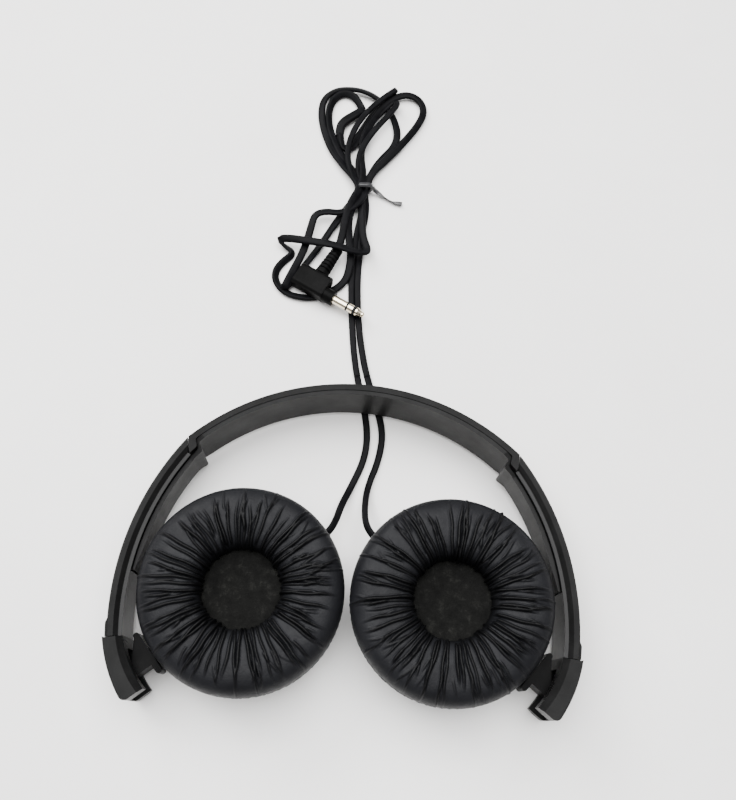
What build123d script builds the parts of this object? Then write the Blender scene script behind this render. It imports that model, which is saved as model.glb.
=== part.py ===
"""Folding on-ear headphones, lying folded flat with the ear pads up.

X runs across the two cups, Y runs from the cups to the crown of the headband, and Z is up
from the surface the cups lie on. Each side is built on the right and mirrored to the left.
"""
import os
from math import asin, atan2, cos, degrees, dist, hypot, pi, radians, sin, tan

from build123d import *

os.makedirs("parts", exist_ok=True)

# ---- driving dimensions, mm ----
CUP_X = 35.25  # cup centre from the middle plane
CUP_Y = -19.23  # cup centre from the middle of the whole length
BAND_LOW = 3.0  # lower edge of the headband and arms
BAND_HIGH = 24.0  # upper edge of the headband and arms
BAND_MID = (BAND_LOW + BAND_HIGH) / 2

ARCH_Y = CUP_Y - 10.6  # centre of the arch over the head
ARCH_OUT = 85.5  # outer radius of the arch
SHELL_IN = 83.3
LINER_OUT = 83.2
LINER_IN = 81.7

SIDE_X = -16.5  # centre of the arc that the right arm slides on
SIDE_Y = CUP_Y - 5.5
ARM_OUT = 94.5  # outer radius of the arm
ARM_WALL = 1.2
ARM_MOUTH = 91.0  # where the cover ends and the inner plate begins
ARM_IN = 89.7
ARM_LIP = 3.0  # height of the cover's upper and lower lips
ARM_BEVEL = 1.3
ARM_TOP = 37.1  # angles of the arm's ends about the slide arc's centre
ARM_NOTCH = 35.0
ARM_END = -7.1
RAIL_OUT = 89.5  # the liner's tail beside the arm
RAIL_IN = 88.1
TONGUE_IN = 91.3
TONGUE_OUT = 92.1

HINGE_X = 70.7  # fold hinge pin
HINGE_Y = CUP_Y - 29.2
TAIL_WALL = 1.1
PIN_R = 0.9
PIN_LONG = 17.0
RUN = 0.05  # running clearance on the radius

AXIS_Z = 12.0  # height of the swivel axis
AXIS_OUT = degrees(atan2(HINGE_Y - CUP_Y, HINGE_X - CUP_X))  # from the cup to the hinge
HINGE_REACH = hypot(HINGE_X - CUP_X, HINGE_Y - CUP_Y)
HANGER_HALF = 4.5  # half the hanger's height
BARREL_R = 4.4
SPIGOT_R = 2.9

HOUSING_R = 31.5
HOUSING_RIM = 16.4
HOUSING_IN = 30.0
PAD_R = 34.8
PAD_LOW = 16.9
PAD_HIGH = 31.0
PAD_HOLE = 13.3
DRIVER_R = 14.5
MAGNET_CUP_R = 8.0
FELT_LOW = 21.3
SCREW_PITCH = 24.5

CORD_R = 1.2
PLUG_Z = 4.9  # height of the plug's centre line
PLUG_ANGLE = -27.8
PLUG_X = -11.2  # shoulder of the plug's pin
PLUG_Y = CUP_Y + 117.9
CORD_BACK = 10.0  # the cord's way out, back from the pin's shoulder


def polar(cx, cy, radius, angle):
    """A point at an angle in degrees on a circle about cx, cy."""
    return (cx + radius * cos(radians(angle)), cy + radius * sin(radians(angle)))


def side(radius, angle):
    """A point on the right arm, from the slide arc's centre."""
    return polar(SIDE_X, SIDE_Y, radius, angle)


def side_angle(radius, y):
    """The angle at which a circle about the slide arc's centre passes a Y above the cup centre."""
    return degrees(asin((CUP_Y + y - SIDE_Y) / radius))


def side_section(angle):
    """The upright plane through the slide arc's axis at an angle: local X out, local Y up."""
    a = radians(angle)
    return Plane(origin=(SIDE_X, SIDE_Y, 0), x_dir=(cos(a), sin(a), 0), z_dir=(sin(a), -cos(a), 0))


SIDE_AXIS = Axis((SIDE_X, SIDE_Y, 0), (0, 0, 1))
CUP_AXIS = Axis((CUP_X, CUP_Y, 0), (0, 0, 1))
CUP_SECTION = Plane(origin=(CUP_X, CUP_Y, 0), x_dir=(1, 0, 0), z_dir=(0, -1, 0))
OUTWARD = (cos(radians(AXIS_OUT)), sin(radians(AXIS_OUT)), 0)


def on_axis(reach):
    """The plane across the swivel axis, reach mm from the cup centre towards the hinge."""
    x, y = polar(CUP_X, CUP_Y, reach, AXIS_OUT)
    return Plane(origin=(x, y, AXIS_Z), x_dir=(0, 0, 1), z_dir=OUTWARD)


def save(piece, name):
    """Label a finished piece and write its file."""
    piece.part.label = name
    export_step(piece.part, f"parts/{name}.step")


def save_pair(piece, name):
    """Write the right-hand piece and its mirror image on the left."""
    save(piece, f"{name}_right")
    with BuildPart() as other:
        mirror(piece.part, about=Plane.YZ)
    save(other, f"{name}_left")


# ---- headband: shell outside, liner inside, one steel strip between them ----
CROWN_END = degrees(atan2(side(ARM_OUT, ARM_TOP)[1] - ARCH_Y, side(ARM_OUT, ARM_TOP)[0]))
LINER_TURN = 48.2  # angle on the arch where the liner starts to step inwards
GAP = 0.25  # parting gap between the shell's end and the arm
SPRING_HALF = 5.5  # half the steel strip's height
SPRING_IN = SHELL_IN + 0.05
SPRING_OUT = SHELL_IN + 0.85
SPRING_TURN = 47.0  # angle on the arch where the strip leaves it for the arm
TONGUE_TURN = 33.0  # angle on the slide arc where the strip joins it
POCKET_HALF = SPRING_HALF + 0.3
POCKET_TURN = 43.0

with BuildPart() as headband_shell:
    with BuildSketch(Plane.XY.offset(BAND_LOW)):
        with BuildLine():
            outer = CenterArc((0, ARCH_Y), ARCH_OUT, CROWN_END + 0.3, 90 - CROWN_END - 0.3)
            notch = side(ARM_MOUTH, ARM_NOTCH + GAP)
            foot = side(RAIL_OUT + 0.3, ARM_NOTCH - 0.3)
            inner = CenterArc((0, ARCH_Y), SHELL_IN, LINER_TURN, 90 - LINER_TURN)
            Line(outer @ 0, notch)
            Line(notch, foot)
            Spline(foot, (55.3, CUP_Y + 48.6), inner @ 0, tangents=((-0.45, 1.0), inner % 0))
            Line(inner @ 1, outer @ 1)
        make_face()
    extrude(amount=BAND_HIGH - BAND_LOW)
    mirror(about=Plane.YZ)
    with BuildSketch(Plane.XY.offset(BAND_MID - POCKET_HALF)):
        with BuildLine():
            CenterArc((0, ARCH_Y), SHELL_IN + 1.0, POCKET_TURN, 180 - 2 * POCKET_TURN)
            CenterArc((0, ARCH_Y), SHELL_IN - 2.0, POCKET_TURN, 180 - 2 * POCKET_TURN)
            for turn in (POCKET_TURN, 180 - POCKET_TURN):
                Line(polar(0, ARCH_Y, SHELL_IN + 1.0, turn), polar(0, ARCH_Y, SHELL_IN - 2.0, turn))
        make_face()
    extrude(amount=2 * POCKET_HALF, mode=Mode.SUBTRACT)
    # a passage at each end for the strip's way out to the arm
    for hand in (1, -1):
        passage = (
            side(TONGUE_OUT + 0.3, TONGUE_TURN - 2),
            side(TONGUE_IN - 0.4, TONGUE_TURN - 2),
            polar(0, ARCH_Y, SHELL_IN - 0.5, SPRING_TURN - 2),
            polar(0, ARCH_Y, SHELL_IN + 1.0, SPRING_TURN - 2),
        )
        with BuildSketch(Plane.XY.offset(BAND_MID - POCKET_HALF)):
            Polygon(*[(hand * x, y) for x, y in passage], align=None)
        extrude(amount=2 * POCKET_HALF, mode=Mode.SUBTRACT)
save(headband_shell, "headband_shell")

RAIL_FOOT = side_angle(RAIL_OUT, 5.0)
RAIL_FULL = side_angle(RAIL_IN, 25.0)
RAIL_TOP = ARM_NOTCH - 1.0
RAIL_HALF = 7.2  # half the tail's height
LINER_HALF = (BAND_HIGH - BAND_LOW) / 2 - 0.3
TAPER = 9.0  # length over which the liner's full height falls to the tail's
with BuildPart() as headband_liner:
    with BuildSketch(Plane.XY.offset(BAND_MID - LINER_HALF)):
        with BuildLine():
            outer = CenterArc((0, ARCH_Y), LINER_OUT, LINER_TURN, 90 - LINER_TURN)
            inner = CenterArc((0, ARCH_Y), LINER_IN, LINER_TURN, 90 - LINER_TURN)
            foot = side(RAIL_OUT, RAIL_TOP)
            heel = side(RAIL_IN, RAIL_TOP)
            Spline(foot, (55.1, CUP_Y + 48.4), outer @ 0, tangents=((-0.45, 1.0), outer % 0))
            Spline(heel, (53.6, CUP_Y + 48.0), inner @ 0, tangents=((-0.45, 1.0), inner % 0))
            Line(foot, heel)
            Line(outer @ 1, inner @ 1)
        make_face()
    extrude(amount=2 * LINER_HALF)
    with BuildSketch(Plane.XY.offset(BAND_MID - RAIL_HALF)):
        with BuildLine():
            CenterArc((SIDE_X, SIDE_Y), RAIL_OUT, RAIL_FOOT, RAIL_TOP - RAIL_FOOT)
            CenterArc((SIDE_X, SIDE_Y), RAIL_IN, RAIL_FULL, RAIL_TOP - RAIL_FULL)
            Line(side(RAIL_IN, RAIL_FULL), side(RAIL_OUT - 0.7, RAIL_FOOT))
            Line(side(RAIL_OUT - 0.7, RAIL_FOOT), side(RAIL_OUT, RAIL_FOOT))
            Line(side(RAIL_IN, RAIL_TOP), side(RAIL_OUT, RAIL_TOP))
        make_face()
    extrude(amount=2 * RAIL_HALF)
    # the full height tapers down to the rail's
    a = radians(RAIL_TOP)
    x, y = side((RAIL_IN + RAIL_OUT) / 2, RAIL_TOP)
    across = Plane(origin=(x, y, BAND_MID), x_dir=(-sin(a), cos(a), 0), z_dir=(cos(a), sin(a), 0))
    with BuildSketch(across.offset(-6)):
        for up in (-1, 1):
            Polygon(
                (-1.5, up * RAIL_HALF),
                (0, up * RAIL_HALF),
                (TAPER, up * (LINER_HALF + 0.1)),
                (TAPER, up * 12),
                (-1.5, up * 12),
                align=None,
            )
    extrude(amount=9, mode=Mode.SUBTRACT)
    mirror(about=Plane.YZ)
save(headband_liner, "headband_liner")

TONGUE_END = side_angle(TONGUE_OUT, -9.0)
with BuildPart() as headband_spring:
    with BuildSketch(Plane.XY.offset(BAND_MID - SPRING_HALF)):
        with BuildLine():
            CenterArc((0, ARCH_Y), SPRING_OUT, SPRING_TURN, 90 - SPRING_TURN)
            CenterArc((0, ARCH_Y), SPRING_IN, SPRING_TURN, 90 - SPRING_TURN)
            CenterArc((SIDE_X, SIDE_Y), TONGUE_OUT, TONGUE_END, TONGUE_TURN - TONGUE_END)
            CenterArc((SIDE_X, SIDE_Y), TONGUE_IN, TONGUE_END, TONGUE_TURN - TONGUE_END)
            Line(polar(0, ARCH_Y, SPRING_OUT, SPRING_TURN), side(TONGUE_OUT, TONGUE_TURN))
            Line(polar(0, ARCH_Y, SPRING_IN, SPRING_TURN), side(TONGUE_IN, TONGUE_TURN))
            Line(side(TONGUE_OUT, TONGUE_END), side(TONGUE_IN, TONGUE_END))
            Line((0, ARCH_Y + SPRING_OUT), (0, ARCH_Y + SPRING_IN))
        make_face()
    extrude(amount=2 * SPRING_HALF)
    mirror(about=Plane.YZ)
save(headband_spring, "headband_spring")

STRIP_IN = 92.6
with BuildPart() as detent_beads:
    x, y = side(TONGUE_OUT, 0)
    with BuildSketch(Plane(origin=(x, y, BAND_MID), x_dir=(0, 0, 1), z_dir=(1, 0, 0))):
        Circle(0.7)
    extrude(amount=STRIP_IN - TONGUE_OUT - 0.1)
    mirror(about=Plane.YZ)
save(detent_beads, "detent_beads")

# ---- arm: cover outside, plate inside, notched strip between them ----
SWELL_OUT = ARM_OUT + 0.6  # radius of the swelling beside the tail
SWELL_TOP = 2.7  # angles it and its foot run over
SWELL_FOOT = 4.2
with BuildPart() as arm_cover:
    with BuildSketch(side_section(ARM_END)):
        half = [
            (ARM_OUT, BAND_MID),
            (ARM_OUT, BAND_HIGH - 0.6),
            (ARM_OUT - 0.6, BAND_HIGH),
            (ARM_MOUTH + ARM_BEVEL, BAND_HIGH),
            (ARM_MOUTH, BAND_HIGH - ARM_BEVEL),
            (ARM_MOUTH, BAND_HIGH - ARM_LIP),
            (ARM_OUT - ARM_WALL, BAND_HIGH - ARM_LIP),
            (ARM_OUT - ARM_WALL, BAND_MID),
        ]
        other = [(r, 2 * BAND_MID - z) for r, z in reversed(half)]
        Polygon(*half, *other[1:-1], align=None)
    revolve(axis=SIDE_AXIS, revolution_arc=ARM_TOP + 0.6 - ARM_END)
    # the upper end is cut back on the skew, where the shell of the headband laps it
    with BuildSketch(Plane.XY):
        Polygon(
            side(ARM_MOUTH - 1, ARM_NOTCH - 0.6),
            side(ARM_OUT + 1, ARM_TOP + 0.6),
            side(ARM_OUT + 1, ARM_TOP + 9),
            side(ARM_MOUTH - 1, ARM_TOP + 9),
            align=None,
        )
    extrude(amount=BAND_HIGH + 1, mode=Mode.SUBTRACT)
    # a slight swelling over the last stretch before the tail
    with BuildSketch(Plane.XY.offset(BAND_LOW + 0.6)):
        with BuildLine():
            CenterArc((SIDE_X, SIDE_Y), ARM_OUT - 0.5, ARM_END, SWELL_FOOT)
            Line(side(ARM_OUT - 0.5, ARM_END + SWELL_FOOT), side(SWELL_OUT, ARM_END + SWELL_TOP))
            CenterArc((SIDE_X, SIDE_Y), SWELL_OUT, ARM_END, SWELL_TOP)
            Line(side(SWELL_OUT, ARM_END), side(ARM_OUT - 0.5, ARM_END))
        make_face()
    extrude(amount=BAND_HIGH - BAND_LOW - 1.2)
save_pair(arm_cover, "arm_cover")

with BuildPart() as arm_plate:
    with BuildSketch(side_section(ARM_END)):
        with Locations(((ARM_IN + ARM_MOUTH) / 2, BAND_MID)):
            Rectangle(ARM_MOUTH - ARM_IN, BAND_HIGH - BAND_LOW - 3.2)
    revolve(axis=SIDE_AXIS, revolution_arc=ARM_NOTCH - 0.3 - ARM_END)
save_pair(arm_plate, "arm_plate")

NOTCH_STEP = radians(1.55)
NOTCHES = 10
with BuildPart() as arm_strip:
    with BuildSketch(side_section(ARM_END + 3.0)):
        with Locations(((STRIP_IN + ARM_OUT - ARM_WALL) / 2, BAND_MID)):
            Rectangle(ARM_OUT - ARM_WALL - STRIP_IN, 12.0)
    revolve(axis=SIDE_AXIS, revolution_arc=30.0)
    for i in range(NOTCHES):
        turn = NOTCH_STEP * i
        x, y = side(STRIP_IN - 1, degrees(turn))
        with BuildSketch(Plane(origin=(x, y, BAND_MID), x_dir=(0, 0, 1), z_dir=(cos(turn), sin(turn), 0))):
            Circle(0.8)
        extrude(amount=3, mode=Mode.SUBTRACT)
save_pair(arm_strip, "arm_strip")

# ---- tail: the arm's curled end, hollowed for the fold hinge ----
TAIL_OUT = ((78.7, -17.3), (76.1, -26.0), (69.5, -37.4))
TAIL_IN = ((63.7, -32.7), (69.3, -24.8), (72.3, -16.6))
TAIL_BEVEL = 2.0
TAIL_CORNER = 2.2
SLOT_TURN = (-44.0, -17.0)  # the slot's ends, as angles about the centre of the tail's outer arc


def from_cup_line(points):
    """Points whose Y is counted from the cup centres' line."""
    return [(x, CUP_Y + y) for x, y in points]


with BuildPart() as tail:
    with BuildSketch(Plane.XY.offset(BAND_LOW)):
        with BuildLine():
            out = ThreePointArc(*from_cup_line(TAIL_OUT))
            inn = ThreePointArc(*from_cup_line(TAIL_IN))
            Line(out @ 1, inn @ 0)
            top = side(SWELL_OUT, ARM_END - 0.15)
            low = side(ARM_IN, ARM_END - 0.15)
            Polyline(out @ 0, top, low, inn @ 1)
        make_face()
    extrude(amount=BAND_HIGH - BAND_LOW)
    for middle, cut in ((69.1, TAIL_BEVEL), (75.3, 0.6)):
        rims = tail.edges().filter_by(Plane.XY).filter_by(GeomType.CIRCLE)
        chamfer(rims.filter_by(lambda e: abs((e @ 0.5).X - middle) < 0.5), length=cut)
    corner = tail.edges().filter_by(Axis.Z).sort_by(lambda e: (e @ 0.5).Y)[:1]
    fillet(corner, radius=TAIL_CORNER)
    # slot that lets the hanger swing from the inner side round to the end
    with BuildSketch(Plane.XY.offset(AXIS_Z - HANGER_HALF - 0.3)):
        with BuildLine():
            slot_span = SLOT_TURN[1] - SLOT_TURN[0]
            wall = CenterArc(out.arc_center, out.radius - TAIL_WALL, SLOT_TURN[0], slot_span)
            Polyline(wall @ 0, (wall @ 0) + (-16, -4), (wall @ 1) + (-10, 3), wall @ 1)
        make_face()
    extrude(amount=2 * HANGER_HALF + 0.6, mode=Mode.SUBTRACT)
    with Locations((HINGE_X, HINGE_Y, AXIS_Z)):
        Cylinder(PIN_R, PIN_LONG, mode=Mode.SUBTRACT)
save_pair(tail, "tail")

with BuildPart() as fold_pin:
    with Locations((HINGE_X, HINGE_Y, AXIS_Z)):
        Cylinder(PIN_R, PIN_LONG)
save_pair(fold_pin, "fold_pin")

# ---- hanger: from the fold hinge to the swivel in the cup ----
HANGER_PLANE = Plane(
    origin=(HINGE_X, HINGE_Y, AXIS_Z - HANGER_HALF),
    x_dir=(-OUTWARD[0], -OUTWARD[1], 0),
    z_dir=(0, 0, 1),
)
WING_NEAR = 8.6
WING_FAR = 10.6
LINK_HALF = 1.7
WEB_DEEP = 9.0
SPIGOT_FROM = 26.6
GROOVE_FROM = 27.3
GROOVE_DEEP = 0.6
with BuildPart() as hanger:
    with BuildSketch(HANGER_PLANE):
        Circle(2.2)
        with Locations((WING_NEAR / 2, 0)):
            Rectangle(WING_NEAR, 2 * LINK_HALF)
        Polygon(
            (3.0, 0),
            (WING_NEAR + 1, 0),
            (WING_NEAR + 1, -WEB_DEEP),
            (WING_NEAR, -WEB_DEEP),
            (3.0, -LINK_HALF),
            align=None,
        )
        with Locations(((WING_NEAR + WING_FAR) / 2, -2.4)):
            RectangleRounded(WING_FAR - WING_NEAR, 15.6, 0.95)
    extrude(amount=2 * HANGER_HALF)
    with BuildSketch(on_axis(HOUSING_R + 0.7)):
        Circle(BARREL_R)
    extrude(amount=HINGE_REACH - WING_FAR - HOUSING_R)
    with BuildSketch(on_axis(SPIGOT_FROM)):
        Circle(SPIGOT_R)
    extrude(amount=HOUSING_R + 2 - SPIGOT_FROM)
    with BuildSketch(on_axis(GROOVE_FROM)):
        Circle(SPIGOT_R + 1)
        Circle(SPIGOT_R - GROOVE_DEEP, mode=Mode.SUBTRACT)
    extrude(amount=0.8, mode=Mode.SUBTRACT)
    with Locations((HINGE_X, HINGE_Y, AXIS_Z)):
        Cylinder(PIN_R + RUN, 20, mode=Mode.SUBTRACT)
save_pair(hanger, "hanger")

with BuildPart() as swivel_clip:
    with BuildSketch(on_axis(GROOVE_FROM + 0.05)):
        Circle(BARREL_R)
        Circle(SPIGOT_R - GROOVE_DEEP, mode=Mode.SUBTRACT)
        with Locations((-3.2, 0)):
            Rectangle(4.0, 2.6, mode=Mode.SUBTRACT)
    extrude(amount=0.7)
save_pair(swivel_clip, "swivel_clip")

# ---- ear cup ----
DISC_R = 21.0
BOSS_TURN = (30, 150, 270)
with BuildPart() as housing:
    with BuildSketch(CUP_SECTION):
        with BuildLine():
            Polyline((0, 1.0), (DISC_R + 0.1, 1.0), (DISC_R + 0.1, 0), (23.0, 0))
            ThreePointArc((23.0, 0), (29.2, 2.8), (HOUSING_R, 8.6))
            Line((HOUSING_R, 8.6), (HOUSING_R, HOUSING_RIM))
            Line((HOUSING_R, HOUSING_RIM), (HOUSING_IN, HOUSING_RIM))
            Line((HOUSING_IN, HOUSING_RIM), (HOUSING_IN, 9.0))
            ThreePointArc((HOUSING_IN, 9.0), (27.9, 4.2), (22.8, 2.4))
            Polyline((22.8, 2.4), (0, 2.4), (0, 1.0))
        make_face()
    revolve(axis=CUP_AXIS)
    for turn in BOSS_TURN:
        x, y = polar(CUP_X, CUP_Y, SCREW_PITCH, turn)
        with BuildSketch(Plane.XY.offset(2.2)):
            with Locations((x, y)):
                Circle(2.4)
        extrude(amount=12.3)
    # bearing for the swivel, and its bore
    with BuildSketch(on_axis(28.3)):
        Rectangle(8.6, 12)
    extrude(amount=2.2)
    with BuildSketch(on_axis(26.0)):
        Circle(SPIGOT_R + RUN)
    extrude(amount=7, mode=Mode.SUBTRACT)
    with BuildSketch(on_axis(-33)):
        Circle(1.9)
    extrude(amount=5, mode=Mode.SUBTRACT)
    for turn in BOSS_TURN:
        x, y = polar(CUP_X, CUP_Y, SCREW_PITCH, turn)
        with Locations((x, y, 10)):
            Cylinder(0.8, 10, mode=Mode.SUBTRACT)
save_pair(housing, "housing")

with BuildPart() as housing_disc:
    with BuildSketch(CUP_SECTION):
        Polygon(
            (0, 0.35),
            (18.6, 0.35),
            (19.2, 0),
            (DISC_R - 0.4, 0),
            (DISC_R, 0.4),
            (DISC_R, 1.0),
            (0, 1.0),
            align=None,
        )
    revolve(axis=CUP_AXIS)
save_pair(housing_disc, "housing_disc")

BAFFLE_LOW = 14.5
with BuildPart() as baffle:
    with BuildSketch(CUP_SECTION):
        Polygon(
            (DRIVER_R + 0.1, BAFFLE_LOW),
            (HOUSING_IN - 0.1, BAFFLE_LOW),
            (HOUSING_IN - 0.1, HOUSING_RIM),
            (HOUSING_R, HOUSING_RIM),
            (HOUSING_R, PAD_LOW),
            (DRIVER_R + 0.1, PAD_LOW),
            align=None,
        )
    revolve(axis=CUP_AXIS)
    # clear of the bearing and of the clip
    with BuildSketch(on_axis(26.4)):
        Rectangle(9.2, 13)
    extrude(amount=4.5, mode=Mode.SUBTRACT)
    with BuildSketch(Plane.XY.offset(14)):
        with Locations((CUP_X, CUP_Y)):
            with PolarLocations(19.2, 12):
                Circle(1.3)
    extrude(amount=4, mode=Mode.SUBTRACT)
    for turn in BOSS_TURN:
        x, y = polar(CUP_X, CUP_Y, SCREW_PITCH, turn)
        with Locations((x, y, 15)):
            Cylinder(1.0, 4, mode=Mode.SUBTRACT)
        with Locations((x, y, PAD_LOW)):
            Cylinder(2.1, 3, mode=Mode.SUBTRACT)
save_pair(baffle, "baffle")

with BuildPart() as housing_screws:
    for turn in BOSS_TURN:
        x, y = polar(CUP_X, CUP_Y, SCREW_PITCH, turn)
        with Locations((x, y, 10.7)):
            Cylinder(0.8, 9.4)
        with Locations((x, y, 15.95)):
            Cylinder(1.9, 1.1)
        with Locations((x, y, 16.5)):
            Box(2.4, 0.5, 0.8, mode=Mode.SUBTRACT)
            Box(0.5, 2.4, 0.8, mode=Mode.SUBTRACT)
save_pair(housing_screws, "housing_screws")

with BuildPart() as ear_pad:
    with BuildSketch(CUP_SECTION):
        with BuildLine():
            Polyline((PAD_HOLE, 23.4), (PAD_HOLE, 22.7), (15.6, 22.7), (15.6, PAD_LOW), (33.0, PAD_LOW))
            Spline(
                (33.0, PAD_LOW),
                (PAD_R, 20.6),
                (33.9, 25.4),
                (30.4, 29.6),
                (24.6, PAD_HIGH),
                (18.6, 29.2),
                (14.7, 26.2),
                (PAD_HOLE, 23.4),
            )
        make_face()
    revolve(axis=CUP_AXIS)
save_pair(ear_pad, "ear_pad")

with BuildPart() as felt_disc:
    with BuildSketch(Plane.XY.offset(FELT_LOW)):
        with Locations((CUP_X, CUP_Y)):
            Circle(15.3)
    extrude(amount=1.1)
save_pair(felt_disc, "felt_disc")

# ---- 30 mm driver ----
with BuildPart() as driver_frame:
    with BuildSketch(CUP_SECTION):
        Polygon(
            (MAGNET_CUP_R, 12.0),
            (DRIVER_R, 12.0),
            (DRIVER_R, FELT_LOW),
            (13.2, FELT_LOW),
            (13.2, 16.4),
            (12.6, 16.4),
            (12.6, 13.0),
            (MAGNET_CUP_R, 13.0),
            align=None,
        )
    revolve(axis=CUP_AXIS)
    with BuildSketch(Plane.XY.offset(11)):
        with Locations((CUP_X, CUP_Y)):
            with PolarLocations(10.4, 8):
                Circle(1.1)
    extrude(amount=3, mode=Mode.SUBTRACT)
save_pair(driver_frame, "driver_frame")

with BuildPart() as magnet_cup:
    with BuildSketch(CUP_SECTION):
        Polygon(
            (0, 7.0),
            (MAGNET_CUP_R, 7.0),
            (MAGNET_CUP_R, 13.0),
            (7.1, 13.0),
            (7.1, 8.2),
            (0, 8.2),
            align=None,
        )
    revolve(axis=CUP_AXIS)
save_pair(magnet_cup, "magnet_cup")

with BuildPart() as magnet:
    with Locations((CUP_X, CUP_Y, 9.8)):
        Cylinder(6.1, 3.2)
save_pair(magnet, "magnet")

with BuildPart() as pole_plate:
    with Locations((CUP_X, CUP_Y, 12.1)):
        Cylinder(6.0, 1.4)
save_pair(pole_plate, "pole_plate")

with BuildPart() as voice_coil:
    with BuildSketch(Plane.XY.offset(11.8)):
        with Locations((CUP_X, CUP_Y)):
            Circle(6.8)
            Circle(6.3, mode=Mode.SUBTRACT)
    extrude(amount=4.0)
save_pair(voice_coil, "voice_coil")

with BuildPart() as diaphragm:
    with BuildSketch(CUP_SECTION):
        with BuildLine():
            Spline((0, 17.6), (4.2, 17.0), (6.8, 15.9))
            Spline((6.8, 15.9), (9.9, 17.2), (13.1, 16.5))
            Line((13.1, 16.5), (13.1, 16.7))
            Spline((13.1, 16.7), (9.9, 17.4), (6.8, 16.1))
            Spline((6.8, 16.1), (4.2, 17.2), (0, 17.8))
            Line((0, 17.8), (0, 17.6))
        make_face()
    revolve(axis=CUP_AXIS)
save_pair(diaphragm, "diaphragm")

with BuildPart() as terminal_board:
    x, y = polar(CUP_X, CUP_Y, 17, AXIS_OUT + 180)
    with Locations((x, y, 3.0)):
        Box(6, 9, 1.2)
save_pair(terminal_board, "terminal_board")

RELIEF_END = 32.2
RELIEF_FOOT = 31.6
with BuildPart() as strain_relief:
    with BuildSketch(on_axis(-RELIEF_END)):
        Circle(1.7)
    with BuildSketch(on_axis(-RELIEF_FOOT)):
        Circle(2.6)
    loft()
    with BuildSketch(on_axis(-RELIEF_FOOT)):
        Circle(1.9)
    extrude(amount=3.2)
save_pair(strain_relief, "strain_relief")

# ---- cords: one lead from each cup, side by side to the tied hank ----
LEAD_FROM = RELIEF_END + 0.1
LEAD_TURN = LEAD_FROM + 3.6


def far_side(reach, hand):
    """A point on the swivel axis, on the far side of a cup from its hinge."""
    x, y = polar(CUP_X, CUP_Y, reach, AXIS_OUT + 180)
    return (hand * x, y, AXIS_Z)


LEAD_LEFT = [
    far_side(LEAD_FROM, -1),
    far_side(LEAD_TURN, -1),
    (-5.2, CUP_Y + 27.4, 10.8),
    (-3.6, CUP_Y + 34.4, 5.4),
    (-0.4, CUP_Y + 42.2, CORD_R),
    (4.5, CUP_Y + 54.0, CORD_R),
    (4.9, CUP_Y + 66.0, CORD_R),
    (1.3, CUP_Y + 80.0, CORD_R),
    (-1.7, CUP_Y + 94.0, CORD_R),
    (-3.3, CUP_Y + 108.0, CORD_R),
    (-4.5, CUP_Y + 124.0, CORD_R),
    (-4.5, CUP_Y + 137.0, CORD_R),
]
LEAD_RIGHT = [
    far_side(LEAD_FROM, 1),
    far_side(LEAD_TURN, 1),
    (5.2, CUP_Y + 27.4, 10.8),
    (5.0, CUP_Y + 34.8, 5.4),
    (5.8, CUP_Y + 42.8, CORD_R),
    (9.6, CUP_Y + 53.5, CORD_R),
    (10.9, CUP_Y + 64.5, CORD_R),
    (7.4, CUP_Y + 76.0, CORD_R),
    (2.9, CUP_Y + 89.0, CORD_R),
    (0.3, CUP_Y + 102.0, CORD_R),
    (-1.2, CUP_Y + 114.0, CORD_R),
    (-2.0, CUP_Y + 126.0, CORD_R),
    (-2.0, CUP_Y + 137.0, CORD_R),
]


BEND_SHARE = 0.45  # share of the shorter run that a bend takes


def lead_radii(points):
    """The bend at each inner point, which takes a little under half of the shorter run beside it."""
    radii = []
    for a, b, c in zip(points, points[1:], points[2:]):
        u = [(q - p) / dist(a, b) for p, q in zip(a, b)]
        v = [(q - p) / dist(b, c) for p, q in zip(b, c)]
        half_turn = atan2(hypot(*[p - q for p, q in zip(u, v)]), hypot(*[p + q for p, q in zip(u, v)]))
        radii.append(BEND_SHARE * min(dist(a, b), dist(b, c)) / tan(half_turn))
    return radii


for name, points in (("cord_left", LEAD_LEFT), ("cord_right", LEAD_RIGHT)):
    radii = lead_radii(points)
    print(name, "bend radii", [round(r, 1) for r in radii])
    with BuildPart() as lead:
        with BuildLine() as route:
            FilletPolyline(*points, radius=radii)
        with BuildSketch(Plane(origin=route.line @ 0, z_dir=route.line % 0)):
            Circle(CORD_R)
        sweep(path=route.line)
    length = sum(run.length for run in route.edges())
    print(name, "length", round(length, 1))
    print(name, "volume", round(lead.part.volume, 1), "section x length", round(pi * CORD_R**2 * length, 1))
    save(lead, name)

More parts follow.
